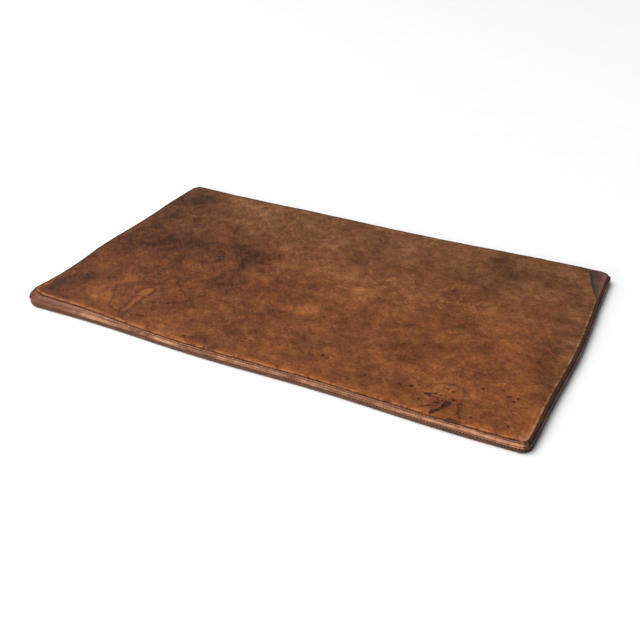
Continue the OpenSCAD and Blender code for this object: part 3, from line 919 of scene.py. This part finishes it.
# %% Tone of the top hide
spots = [
    (-365, 200, 42, 40, 0, -0.34), (-376, 130, 30, 50, 0, -0.26), (-345, 100, 30, 40, 20, -0.2),
    (-282, 30, 52, 16, -10, -0.34), (-318, 2, 48, 24, 0, -0.36), (-290, -36, 34, 18, 0, -0.2),
    (-172, 48, 34, 24, -20, -0.42), (-142, 8, 20, 34, 0, -0.34), (-200, 4, 30, 22, 0, -0.14),
    (-150, -52, 30, 14, 0, -0.2), (-384, -188, 26, 30, 0, -0.4), (-340, -150, 30, 24, 0, -0.2),
    (-230, -60, 50, 30, 0, -0.1), (-120, 196, 24, 10, 0, -0.12), (-14, -21, 11, 8, 0, -0.3),
    (5, 122, 10, 8, 0, -0.26), (14, 104, 14, 10, 0, -0.14), (60, 118, 22, 26, 0, -0.16),
    (245, 132, 26, 26, 0, -0.26), (226, 198, 16, 12, 0, -0.34), (258, 168, 30, 16, 0, -0.2),
    (100, -62, 40, 24, 0, -0.1), (172, 108, 14, 8, 20, -0.16), (186, 76, 10, 6, 0, -0.2),
    (368, -10, 18, 26, 0, -0.24), (372, -94, 16, 26, 0, -0.3), (350, 170, 30, 20, 0, -0.12),
    (392, 100, 10, 60, 0, -0.1), (20, -166, 18, 10, 0, -0.12), (-94, -216, 14, 8, 0, -0.34),
    (-60, -176, 30, 14, 0, -0.1), (282, -208, 14, 18, 0, -0.2), (-268, 214, 46, 18, 0, 0.12),
    (-215, 206, 34, 26, 0, 0.14), (-120, 150, 30, 50, 0, 0.08), (-40, 60, 50, 34, 0, 0.11),
    (-34, 22, 44, 20, 0, 0.12), (24, 26, 40, 18, 0, 0.12), (60, 4, 18, 10, 20, 0.34),
    (2, -82, 38, 11, 8, 0.34), (110, 44, 40, 20, 0, 0.14), (262, 26, 30, 14, 0, 0.26),
    (300, 2, 34, 12, 0, 0.2), (300, -40, 40, 26, 0, 0.1), (225, -150, 52, 14, 0, 0.22),
    (300, -112, 50, 22, 0, 0.14), (330, -180, 40, 24, 0, 0.2), (70, -206, 90, 14, 0, 0.12),
    (-240, 20, 150, 120, 0, -0.16), (-392, -110, 16, 70, 0, -0.3), (-350, -10, 30, 60, 0, -0.14),
    (-262, -184, 9, 8, 0, 0.3), (-376, 190, 20, 30, 0, -0.1), (-384, -196, 16, 22, 0, -0.4),
    (-339, -159, 9, 7, 0, -0.3), (-321, -180, 6, 14, 0, -0.34), (-336, -208, 14, 8, 0, -0.26),
    (246, -206, 10, 8, 0, 0.1), (258, -178, 13, 11, 0, 0.2), (365, -150, 14, 16, 0, -0.12),
    (-60, -226, 60, 7, 0, -0.14), (-220, -216, 26, 7, 0, -0.26), (-300, -168, 20, 18, 0, 0.14),
    (-303, -182, 26, 6, -81, 0.3), (-285, -174, 22, 6, -55, 0.28), (50, -108, 300, 34, 0, -0.07),
    (-292, -196, 34, 10, 0, 0.36), (-230, -168, 9, 26, 6, 0.22), (-232, -143, 10, 9, 0, 0.2),
    (-140, -216, 30, 12, 0, 0.5), (-190, -128, 14, 12, 0, 0.1), (-262, 92, 24, 18, 0, 0.1),
    (150, 190, 60, 30, 0, 0.06),
]


def tone_at(x, y):
    """Sum of amount * exp(-0.7 r^2), where r is the distance from a spot's centre in turned radii."""
    bent_x = x + 11 * ripple(x, y, 26, 31) + 5 * ripple(x, y, 11, 32)
    bent_y = y + 11 * ripple(x, y, 26, 33) + 5 * ripple(x, y, 11, 34)
    total = np.zeros_like(x)
    for cx, cy, long, short, degrees, amount in spots:
        c, s = np.cos(np.radians(degrees)), np.sin(np.radians(degrees))
        along = (c * (bent_x - cx) + s * (bent_y - cy)) / long
        across = (c * (bent_y - cy) - s * (bent_x - cx)) / short
        total = total + amount * np.exp(-0.7 * (along ** 2 + across ** 2))
    return total


# %% Piece: top hide
def build_top_hide():
    """A lattice inside, then rings down the rim and round the turned edge, with twice as many points."""
    nu, nv = len(columns_u), len(rows_v)
    start_depth = 6.0
    flat = coons(columns_u, rows_v, from_seam(start_depth))
    to_side = to_sides(flat)
    depth = start_depth + np.minimum.reduce(to_side)
    s_front, s_right = columns_u[:, None] * run(FRONT), rows_v[None] * run(RIGHT)
    s_back, s_left = (1 - columns_u)[:, None] * run(BACK), (1 - rows_v)[None] * run(LEFT)
    waves_in = 0
    for i, s in enumerate((s_front, s_right, s_back, s_left)):
        waves_in = waves_in + edge_wave(i, s, start_depth + to_side[i])
    z = hide_height(flat[..., 0], flat[..., 1], depth) + swell + waves_in
    points = [np.concatenate([flat, z[..., None]], -1).reshape(-1, 3)]
    seams = [depth.ravel()]
    fine = doubled(loop_shares(columns_u, rows_v))
    count = ring_values(fine, lambda side, s: stitch_count(side, s, inset)[0])
    holes_here = at_hole(count)
    for rim in rim_depths:
        xy = ring(fine, from_seam(rim))
        z = hide_height(xy[:, 0], xy[:, 1], np.full(len(xy), rim))
        z += ring_values(fine, lambda side, s: edge_wave(side, s, rim))
        z -= 0.42 * holes_here * np.exp(-((rim - 0.9) / 1.1) ** 2)
        points.append(np.column_stack([xy, z]))
        seams.append(np.full(len(xy), rim))
    for rim, z in turned_edge:
        xy = ring(fine, from_seam(rim))
        points.append(np.column_stack([xy, np.full(len(xy), z)]))
        seams.append(np.zeros(len(xy)))
    inner = loop_of(nu, nv)
    rings = len(points) - 1
    first = nu * nv
    rim_quads = lattice(rings, 2 * len(inner), wrap_columns=True, start=first)[:, ::-1]
    quads = np.concatenate([lattice(nu, nv), rim_quads])
    triangles = zip_ring(inner, len(inner), first)
    underside = first + (rings - 1) * 2 * len(inner) + np.arange(2 * len(inner))
    points = np.concatenate(points)
    values = {"seam": np.concatenate(seams), "tone": tone_at(points[:, 0], points[:, 1])}
    return make_piece("worn_top_hide", points, [quads, triangles[:, ::-1], underside[None]], top_leather,
        ["top_hide"], values)


top_hide = build_top_hide()

# %% [markdown]
# ## The rolled strips
# Each side is closed by one strip of leather, rolled over a cord. Its section starts in the seam groove, runs
# over the roll and ends under the lower seam. Where the seam turns away from the outline, the section gets a
# flat part with a fold in it. The section is an array over columns along the side and points round the
# profile, so lumps, creases and puckers are added to all of it at once. The ends dip where two strips meet.
# On the front strip the lower crease deepens toward the front right corner.

# %% Section of a strip
ROLL_Z, ROLL_HALF = 8.9, 4.4
ROLL_REACH, SEAM_ROOM = 5.0, 1.3
FLANGE_END = 5.2
OVAL = np.radians(np.linspace(90, -35, 15))
FOLD = np.array([0.0, 0.14, 0.3, 0.45, 0.6, 0.78])


def strip_section(side, s):
    """Inward distances, heights, and outward push directions of a strip's outer face, columns by profile."""
    seam = inset(side, s)[:, None]
    reach = np.minimum(ROLL_REACH, seam - SEAM_ROOM)
    wide = ease((seam - 6) / 9)
    lip_x = seam - np.array([0.05, 0.05, 0.18, 0.5])
    lip_z = np.broadcast_to([11.4, 12.1, 12.6, 12.98], lip_x.shape)
    fold_x = (seam - 0.95) + (reach - seam + 0.95) * FOLD
    fold_top = 0.9 * np.sin(np.pi * np.minimum(FOLD / 0.62, 1))
    fold_dip = 1.3 * np.exp(-((FOLD - 0.66) / 0.13) ** 2)
    fold_z = 13.12 + 0.2 * FOLD + wide * (fold_top - fold_dip)
    oval_x = reach * (1 - np.cos(OVAL))
    oval_z = ROLL_Z + ROLL_HALF * np.sin(OVAL) + 0 * seam
    toe_x = np.broadcast_to([1.15, 1.75, 2.1], (len(s), 3))
    toe_z = np.broadcast_to([5.55, 5.12, 5.06], (len(s), 3))
    x = np.concatenate([lip_x, fold_x, oval_x, toe_x], 1)
    z = np.concatenate([lip_z, fold_z, oval_z, toe_z], 1)
    dx, dz = np.gradient(x, axis=1), np.gradient(z, axis=1)
    size = np.hypot(dx, dz) + 1e-9
    return x, z, -dz / size, dx / size


def strip_inner(side, s):
    """The hidden face, from the lower flange back up round the cord to the top flange."""
    seam = inset(side, s)[:, None]
    reach = np.minimum(ROLL_REACH, seam - SEAM_ROOM)
    angle = np.radians(np.linspace(-35, 90, 8))
    flange_x = np.full((len(s), 2), FLANGE_END)
    flange_z = np.broadcast_to([5.06, 6.4], (len(s), 2))
    x = np.concatenate([flange_x, reach - (reach - 1.8) * np.cos(angle)], 1)
    z = np.concatenate([flange_z, ROLL_Z + 2.5 * np.sin(angle) + 0 * seam], 1)
    return x, z


# %% Pieces: four strips
END_FOLD = 175.0


def build_strip(side):
    """One strip: its section plus lumps and gathers, less creases, stitch puckers and a dip at each end."""
    s = np.linspace(0, run(side), int(run(side) / 1.35))
    x, z, push_in, push_up = strip_section(side, s)
    outer = x.shape[1]
    count, _, travelled = stitch_count(side, s, inset)
    low_count = stitch_count(side, s, low_seam)[0]
    along = s[:, None] + 0 * x
    q = np.arange(outer)[None] + 0 * x
    to_end = np.minimum(s, run(side) - s)[:, None]
    near_end = np.exp(-to_end / 11)
    on_roll = ease((q - 9) / 3) * ease((outer - 3 - q) / 3)
    lumps = 0.42 * ripple(along, q * 2.2 + 90 * side, 34, 41)
    lumps = lumps + 0.16 * ripple(along, q * 1.6 + 90 * side, 7.5, 42)
    first_crease = 13.2 + 1.3 * ripple(s, s * 0 + side, 70, 43)[:, None]
    past_fold = s - run(side) + END_FOLD
    right_end = ease(past_fold / 55)[:, None] * (side == FRONT)
    second_crease = 18.6 + 1.4 * ripple(s, s * 0 + side, 50, 44)[:, None]
    second_crease = second_crease + right_end * (4 - 3 * ease(past_fold / 100)[:, None])
    depth_one = 0.75 + 0.35 * ripple(s, s * 0 + side, 45, 45)[:, None]
    depth_two = 0.15 + 0.3 * ripple(s, s * 0 + side, 38, 46)[:, None] + 0.7 * right_end
    creases = depth_one * np.exp(-((q - first_crease) / 0.9) ** 2)
    creases = creases + depth_two * np.exp(-((q - second_crease) / 0.9) ** 2)
    gather = near_end * 0.55 * np.sin(along / 1.15 + 2.2 * ripple(along, q, 9, 47))
    gather = gather * ease((outer - 1 - q) / 6)
    wrinkle = 0.1 * ripple(along, q * 0.8, 2.6, 48) * on_roll
    pucker_top = 0.34 * at_hole(count)[:, None] * np.exp(-((q - 3.5) / 2.0) ** 2)
    pucker_low = 0.3 * at_hole(low_count)[:, None] * np.exp(-((q - (outer - 4)) / 1.6) ** 2)
    joint = 0.7 * np.exp(-to_end / 1.3) * ease((q - 2) / 3)
    move = on_roll * (lumps - creases) + gather + wrinkle - pucker_top - pucker_low - joint
    move[:, :2] = 0
    move[:, -2:] = 0
    x, z = x + move * -push_in, z + move * -push_up
    # How hollow each point is: the strip's finish paints the hollows darker, as painted shade.
    low_places = 1.3 * creases * on_roll + 1.6 * (pucker_top + pucker_low) + 0.9 * joint
    hollow = np.clip(low_places - 0.8 * (lumps * on_roll) - 0.8 * gather, -0.6, 1)
    inner_x, inner_z = strip_inner(side, s)
    seam = inset(side, s)[:, None] - x
    every_x, every_z = np.concatenate([x, inner_x], 1), np.concatenate([z, inner_z], 1)
    flat, normal = place(side, s)
    xy = (flat - middle)[:, None] - normal[:, None] * every_x[..., None]
    points = np.concatenate([xy, every_z[..., None]], -1)
    total = every_x.shape[1]
    pad = np.zeros((len(s), total - outer))
    ends = np.stack([np.arange(total), (len(s) - 1) * total + np.arange(total)[::-1]])
    piece = make_piece(f"rolled_strip_{SIDES[side]}", points.reshape(-1, 3),
        [lattice(len(s), total, wrap_columns=True), ends], strip_leather,
        [f"edge_strip_{SIDES[side]}"],
        {"seam": np.concatenate([seam, pad], 1), "hollow": np.concatenate([hollow, pad], 1)}, sharp=70)
    girth = np.hypot(np.diff(every_x, axis=1), np.diff(every_z, axis=1)).sum(1).mean() / 2
    return piece, girth, travelled[-1]


strips = [build_strip(i) for i in range(4)]

# %% [markdown]
# ## Hand stitches
# Each stitch is a short arch of waxed thread that dips into a hole at both ends. All the stitches of one run
# are one array: stitches by stations along the arch by points round the thread. A seeded draw gives each
# stitch its own tightness and slant, because no two hand stitches lie the same.

# %% Stitch builder
STATIONS, AROUND = 6, 6
SEAM_THREAD, CORNER_THREAD = 0.46, 0.44
HOLE_GAP = 0.14


def thread_runs(starts, ends, lift, radius_mm, seed, sag=0.3):
    """Many arched tubes: start + t (end - start) + lift sin(pi t), with a turning oval section."""
    rng = np.random.default_rng(seed)
    n = len(starts)
    t = np.linspace(0, 1, STATIONS)[None, :, None]
    slant = rng.normal(0, 0.16, (n, 1, 1))
    tight = rng.uniform(0.75, 1.2, (n, 1, 1))
    along = (ends - starts)[:, None]
    side_way = np.cross(lift, along[:, 0])
    side_way = side_way / np.linalg.norm(side_way, axis=-1, keepdims=True)
    centre = (starts[:, None] + t * along + lift[:, None] * (np.sin(np.pi * t) * tight * 0.55 - sag)
        + side_way[:, None] * slant * np.cos(np.pi * t) * 2)
    ahead = along / np.linalg.norm(along, axis=-1, keepdims=True)
    across = side_way[:, None] + 0 * ahead
    upward = np.cross(ahead, across)
    angle = (np.arange(AROUND) / AROUND * 2 * np.pi)[None, None] + 2.4 * t[..., 0][..., None] + slant * 5
    size = radius_mm * (0.72 + 0.28 * np.sin(np.pi * t)) * (1 + 0.12 * np.cos(2 * angle - 4.8 * t))
    ringed = (centre[:, :, None] + (size * np.cos(angle))[..., None] * across[:, :, None]
        + (size * np.sin(angle))[..., None] * upward[:, :, None])
    tube = lattice(STATIONS, AROUND, wrap_columns=True)
    caps = np.stack([np.arange(AROUND)[::-1], (STATIONS - 1) * AROUND + np.arange(AROUND)])
    shift = (np.arange(n) * STATIONS * AROUND)[:, None, None]
    faces = [(tube[None] + shift).reshape(-1, 4), (caps[None] + shift).reshape(-1, AROUND)]
    return ringed.reshape(-1, 3), faces


def seam_stitches(side, depth, height, lift, seed):
    """Stitches between neighbouring holes of a seam, a little short of each hole. lift is (inward, up)."""
    fine = np.linspace(0, run(side), FINE_STEPS)
    count, number, _ = stitch_count(side, fine, depth)
    k = np.arange(number)
    s_start, s_end = np.interp(k + HOLE_GAP, count, fine), np.interp(k + 1 - HOLE_GAP, count, fine)
    ends = []
    for s in (s_start, s_end):
        xy = inward(side, s, depth(side, s))
        ends.append(np.column_stack([xy, np.full(number, height)]))
    normal = place(side, (s_start + s_end) / 2)[1]
    lifts = np.column_stack([-normal * lift[0], np.full(number, lift[1])])
    return thread_runs(ends[0], ends[1], lifts, SEAM_THREAD, seed)


# %% Pieces: seam threads
for i in range(4):
    points, faces = seam_stitches(i, from_seam(0.05), 13.0, (0, 1), 60 + i)
    make_piece(f"top_stitches_{SIDES[i]}", points, faces, dark_thread,
        [f"top_seam_thread_{SIDES[i]}"])
    points, faces = seam_stitches(i, low_seam, 5.1, (-0.9, 0.3), 70 + i)
    make_piece(f"low_stitches_{SIDES[i]}", points, faces, pale_thread,
        [f"bottom_seam_thread_{SIDES[i]}"])


# %% Pieces: closing stitches at the corners
CORNERS = ("front_right", "back_right", "back_left", "front_left")


def corner_stitches(side):
    """Four short stitches, one above the other, that pull the end of one strip to the next."""
    heights = np.array([6.9, 8.3, 9.7, 11.1])
    out = -0.15 + 0.045 * (heights - ROLL_Z) ** 2
    span = np.array([1.5, 1.75, 1.6, 1.45])
    first, outward = place(side, run(side) - span)
    second = place(after(side), span)[0]
    first, second = first - middle - outward * out[:, None], second - middle - outward * out[:, None]
    lifts = np.column_stack([outward, np.zeros(4)])
    starts, ends = np.column_stack([first, heights]), np.column_stack([second, heights + 0.35])
    points, faces = thread_runs(starts, ends, lifts, CORNER_THREAD, 80 + side, sag=0.2)
    make_piece(f"corner_stitches_{SIDES[side]}_{SIDES[after(side)]}", points, faces, dark_thread,
        [f"corner_thread_{CORNERS[side]}"])


for i in range(4):
    corner_stitches(i)

# %% [markdown]
# ## The corner patch
# A thin crescent of darker leather covers the worn back right corner. It lies on the hide and is about half a
# millimetre thick, with a skived edge, so each of its points starts from the height of the hide's nearest
# points. A ruled surface between the seam and a curved inner edge makes the crescent, and its two tips are
# where the curves meet.

# %% Piece: corner patch
def hide_height_near(xy):
    """The hide's height at points, as the mean of its four nearest vertices weighted by 1 / distance^2."""
    co = np.empty(len(top_hide.data.vertices) * 3)
    top_hide.data.vertices.foreach_get("co", co)
    co = co.reshape(-1, 3) / MM
    near = co[(co[:, 0] > xy[:, 0].min() - 6) & (co[:, 1] > xy[:, 1].min() - 6) & (co[:, 2] > 12.6)]
    gap = ((xy[:, None] - near[None, :, :2]) ** 2).sum(-1) + 0.01
    four = np.argpartition(gap, 4, axis=1)[:, :4]
    weight = 1 / np.take_along_axis(gap, four, 1)
    return (near[four, 2] * weight).sum(1) / weight.sum(1)


def build_patch():
    """The ruled surface inner (1 - v) + outer v, raised from the hide by the skive and closed below."""
    around = np.linspace(-92, 36, 110)
    s_right, s_back = run(RIGHT) + np.minimum(around, 0), np.maximum(around, 0)
    on_right = inward(RIGHT, s_right, inset(RIGHT, s_right) + 0.75)
    on_back = inward(BACK, s_back, inset(BACK, s_back) + 0.75)
    outer = np.where((around < 0)[:, None], on_right, on_back)
    t = np.linspace(0, 1, len(around))
    t = (0.35 * t + 0.65 * ease(t))[:, None]
    inner = (1 - t) ** 2 * outer[:1] + 2 * t * (1 - t) * np.array([[368.0, 186.0]]) + t ** 2 * outer[-1:]
    v = np.linspace(0, 1, 22)
    flat = inner[:, None] * (1 - v)[None, :, None] + outer[:, None] * v[None, :, None]
    xy = flat.reshape(-1, 2)
    across = np.tile(v, len(around))
    width = np.repeat(np.linalg.norm(inner - outer, axis=-1), len(v))
    to_edge = np.minimum(across, 0.6) * width
    skive = 0.12 + 0.34 * ease(to_edge / 1.6)
    under = hide_height_near(xy)
    top = np.column_stack([xy, under + skive + 0.05 * ripple(xy[:, 0], xy[:, 1], 7, 91)])
    bottom = np.column_stack([xy, under - 0.02])
    n, m = len(around), len(v)
    rim = loop_of(n, m)
    nxt = np.roll(rim, -1)
    wall = np.stack([rim, nxt, nxt + n * m, rim + n * m], -1)
    return make_piece("worn_corner_patch", np.concatenate([top, bottom]),
        [lattice(n, m), lattice(n, m, start=n * m)[:, ::-1], wall[:, ::-1]], patch_leather,
        ["corner_patch"], {"across": np.tile(across, 2)})


patch = build_patch()

# %% [markdown]
# ## The bottom hide
# The lower hide carries the mat. Its rim turns up round the edge as a thin bead and is sewn to the strip
# above it, and its underside has been pressed nearly flat, with faint swells that rise a little off the desk.

# %% Piece: bottom hide
bead = [(6.5, 0.0), (4.6, 0.0), (3.2, 0.03), (2.2, 0.12), (1.4, 0.32), (0.8, 0.66), (0.4, 1.15), (0.2, 1.75),
    (0.16, 2.4), (0.3, 3.05), (0.62, 3.62), (1.05, 4.1), (1.55, 4.55), (2.05, 4.9)]
hem = [(3.4, 4.98), (5.2, 4.98), (5.25, 4.2), (5.2, 3.4), (3.8, 3.25), (2.7, 3.1), (2.5, 2.5), (2.9, 2.03)]


def build_bottom_hide():
    """A lattice, then rings along bead and hem. Two rows of triangles double the number of points twice."""
    u, v = spacing(150, 0, 1, 1), spacing(90, 0, 1, 1)
    flat = coons(u, v, from_edge(8.5))
    away = np.minimum.reduce(to_sides(flat))
    hump = ripple(flat[..., 0], flat[..., 1], 48, 51) + 0.5 * ripple(flat[..., 0], flat[..., 1], 19, 52)
    z = np.clip(0.22 + 0.3 * hump, 0, 0.6) * ease(away / 25)
    points = [np.concatenate([flat, z[..., None]], -1).reshape(-1, 3)]
    rim_share = [np.zeros(z.size)]
    fine = doubled(doubled(loop_shares(u, v)))
    s_all = ring_values(fine, lambda side, s: s)
    side_all = ring_values(fine, lambda side, s: side + 0 * s)
    hole_here = at_hole(ring_values(fine, lambda side, s: stitch_count(side, s, low_seam)[0]))
    lump = 0.16 * ripple(s_all, side_all * 41, 17, 53) + 0.08 * ripple(s_all, side_all * 41, 5, 54)
    for n, (depth, z) in enumerate(bead + hem):
        on_bead = np.exp(-((n - 9) / 2.6) ** 2)
        scallop = 0.26 * hole_here * np.exp(-((n - 12) / 1.3) ** 2)
        shift = (0 if n >= len(bead) else 1) * (scallop - lump * on_bead)
        sides = [inward(i, fine[i][:-1] * run(i), depth + shift[side_all == i]) for i in range(4)]
        xy = np.concatenate(sides)
        points.append(np.column_stack([xy, z - 0.5 * scallop * (n < len(bead))]))
        rim_share.append(np.full(len(xy), float(3 < n < len(bead))))
    inner = loop_of(len(u), len(v))
    n = len(inner)
    first = len(points[0])
    points.insert(1, np.column_stack([ring(fine, from_edge(7.5))[::2], points[1][::2, 2]]))
    rim_share.insert(1, np.zeros(2 * n))
    second = first + 2 * n
    first_zip = zip_ring(inner, n, first)
    second_zip = zip_ring(first + np.arange(2 * n), 2 * n, second)
    rings = len(bead) + len(hem)
    walls = lattice(rings, 4 * n, wrap_columns=True, start=second)[:, ::-1]
    inside = second + (rings - 1) * 4 * n + np.arange(4 * n)
    quads = np.concatenate([lattice(len(u), len(v)), walls])
    triangles = np.concatenate([first_zip, second_zip])[:, ::-1]
    return make_piece("rubbed_bottom_hide", np.concatenate(points), [quads, triangles, inside[None]],
        bottom_leather, ["bottom_hide"], {"rim": np.concatenate(rim_share)})


bottom_hide = build_bottom_hide()

# %% [markdown]
# ## The felt core and the cords
# Two layers of pressed felt fill the mat, and a cotton cord keeps each roll round. None of them shows, but
# they are what makes the mat thick and its edge firm. The felts are soft slabs with rounded rims and slightly
# uneven faces. A cord is three strands twisted together, so its radius swells three times round and turns
# along its length.

# %% Pieces: felt layers
def build_felt(name, node, rims, z_low, z_high, seed):
    """A slab: a lattice below, one above, and rings of (depth function, height) between them."""
    u, v = np.linspace(0, 1, 121), np.linspace(0, 1, 73)
    shares = loop_shares(u, v)
    bottom_depth, top_depth = rims[0][0], rims[-1][0]
    points = []
    for depth, z, way in ((bottom_depth, z_low, 1), (top_depth, z_high, -1)):
        flat = coons(u, v, lambda side, s: depth(side, s) + 2)
        soft = 0.14 * (1 + ripple(flat[..., 0], flat[..., 1], 16, seed + way))
        points.append(np.concatenate([flat, (z + way * soft)[..., None]], -1).reshape(-1, 3))
    for depth, z in rims:
        xy = ring(shares, depth)
        points.append(np.column_stack([xy, z + 0.06 * ripple(xy[:, 0], xy[:, 1], 5, seed)]))
    inner, n, m = loop_of(len(u), len(v)), len(u), len(v)
    start = 2 * n * m
    count = len(inner)
    k = np.arange(count)
    k2 = (k + 1) % count
    lower = np.stack([inner, start + k, start + k2, inner[k2]], -1)
    last = start + (len(rims) - 1) * count
    upper = np.stack([n * m + inner, n * m + inner[k2], last + k2, last + k], -1)
    walls = lattice(len(rims), count, wrap_columns=True, start=start)
    top = lattice(n, m, start=n * m)[:, ::-1]
    quads = np.concatenate([lattice(n, m), lower, walls[:, ::-1], upper, top])
    piece = make_piece(name, np.concatenate(points), [quads], felt_wool, [node])


build_felt("upper_felt_layer", "felt_upper", [(from_seam(2.9), 6.7), (from_seam(2.5), 7.3),
    (from_seam(2.4), 9.4), (from_seam(2.4), 11.6), (from_seam(2.9), 12.2)], 6.68, 12.25, 101)
build_felt("lower_felt_layer", "felt_lower", [(from_edge(6.2), 2.1), (from_edge(5.7), 2.6),
    (from_edge(5.6), 4.2), (from_edge(5.7), 6.0), (from_edge(6.3), 6.5)], 2.08, 6.55, 111)


# %% Pieces: piping cords
ROUND, TWIST = 14, 15.0


def build_cord(side):
    """A tube of radius r (0.88 + 0.12 |cos(1.5 (angle - turn))|) about the middle of the roll."""
    s = np.linspace(1.2, run(side) - 1.2, int(run(side) / 1.9))
    seam = inset(side, s)
    centre = np.minimum(4.1, seam * 0.5 + 1.5)
    room = np.minimum(2.0, centre - 2.0)
    angle = np.arange(ROUND) / ROUND * 2 * np.pi
    lobe = np.abs(np.cos(1.5 * (angle[None] - 2 * np.pi * s[:, None] / TWIST)))
    size = room[:, None] * (0.88 + 0.12 * lobe)
    flat, normal = place(side, s)
    xy = (flat - middle)[:, None] - normal[:, None] * (centre[:, None] + size * np.cos(angle))[..., None]
    points = np.concatenate([xy, (ROLL_Z + size * np.sin(angle))[..., None]], -1).reshape(-1, 3)
    ends = np.stack([np.arange(ROUND), (len(s) - 1) * ROUND + np.arange(ROUND)[::-1]])
    return make_piece(f"piping_cord_{SIDES[side]}", points, [lattice(len(s), ROUND, wrap_columns=True), ends],
        cord_cotton, [f"edge_cord_{SIDES[side]}"], {"strand": lobe.ravel()})


for i in range(4):
    build_cord(i)

# %% [markdown]
# ## What each strip was cut to
# The hides were cut flat, a little larger than the outline, and the strips were cut as long bands. Each
# strip's cut size, its girth round the section and its length along the seam, is printed.

for i, (strip, girth, length) in enumerate(strips):
    print(f"strip {SIDES[i]}: cut {girth:.1f} x {length:.0f} mm")
    round(girth * MM, 4)
    round(length * MM, 3)

# %% [markdown]
# ## Floor and light
# A pale floor, one broad sun and two soft lamps are enough. The sun stands high on the left and is very wide,
# so its shadows are soft and the floor is evenly white. The world is kept dim, because rough leather seen at
# a low angle mirrors it as a grey haze. A low lamp in front polishes the rolled edge.

# %% Floor, lamps and world
floor_finish = Finish("pale floor")
speckle = floor_finish.noise(40, 2)
floor_colour = floor_finish.mix((0.9, 0.9, 0.9, 1), (0.93, 0.93, 0.93, 1), speckle)
floor_finish.surface(floor_colour, speckle * 0.1 + 0.8)
half_floor, floor_z = 6.0, -0.0002
floor_mesh = bpy.data.meshes.new("floor")
floor_corners = [(x * half_floor, y * half_floor, floor_z) for x, y in ((-1, -1), (1, -1), (1, 1), (-1, 1))]
floor_mesh.from_pydata(floor_corners, [], [(0, 1, 2, 3)])
floor = bpy.data.objects.new("floor", floor_mesh)
floor.data.materials.append(floor_finish.material)
bpy.context.collection.objects.link(floor)


def lamp(name, at, towards, width, height, watts, colour=(1, 1, 1)):
    """An area lamp at a point in metres, turned so that its face looks at another point."""
    data = bpy.data.lights.new(name, "AREA")
    data.shape = "RECTANGLE"
    data.size, data.size_y, data.energy, data.color = width, height, watts, colour
    made = bpy.data.objects.new(name, data)
    made.location = at
    made.rotation_euler = (Vector(towards) - Vector(at)).to_track_quat("-Z", "Y").to_euler()
    bpy.context.collection.objects.link(made)


lamp("low_front_lamp", (-0.6, -2.6, 0.9), (0, -0.1, 0), 1.6, 0.6, 36)
lamp("left_lamp", (-2.6, 0.6, 1.4), (0, 0, 0), 1.6, 0.9, 10)
sun_data = bpy.data.lights.new("wide_sun", "SUN")
sun_data.energy = 2.6
sun_data.angle = np.radians(50)
sun = bpy.data.objects.new("wide_sun", sun_data)
sun.rotation_euler = Vector((-0.5, -0.12, 1)).to_track_quat("Z", "Y").to_euler()
bpy.context.collection.objects.link(sun)
world = bpy.data.worlds.new("studio")
world.use_nodes = True
world.node_tree.nodes["Background"].inputs["Color"].default_value = (1, 1, 1, 1)
world.node_tree.nodes["Background"].inputs["Strength"].default_value = 0.25
bpy.context.scene.world = world
bpy.context.scene.view_settings.view_transform = "Standard"
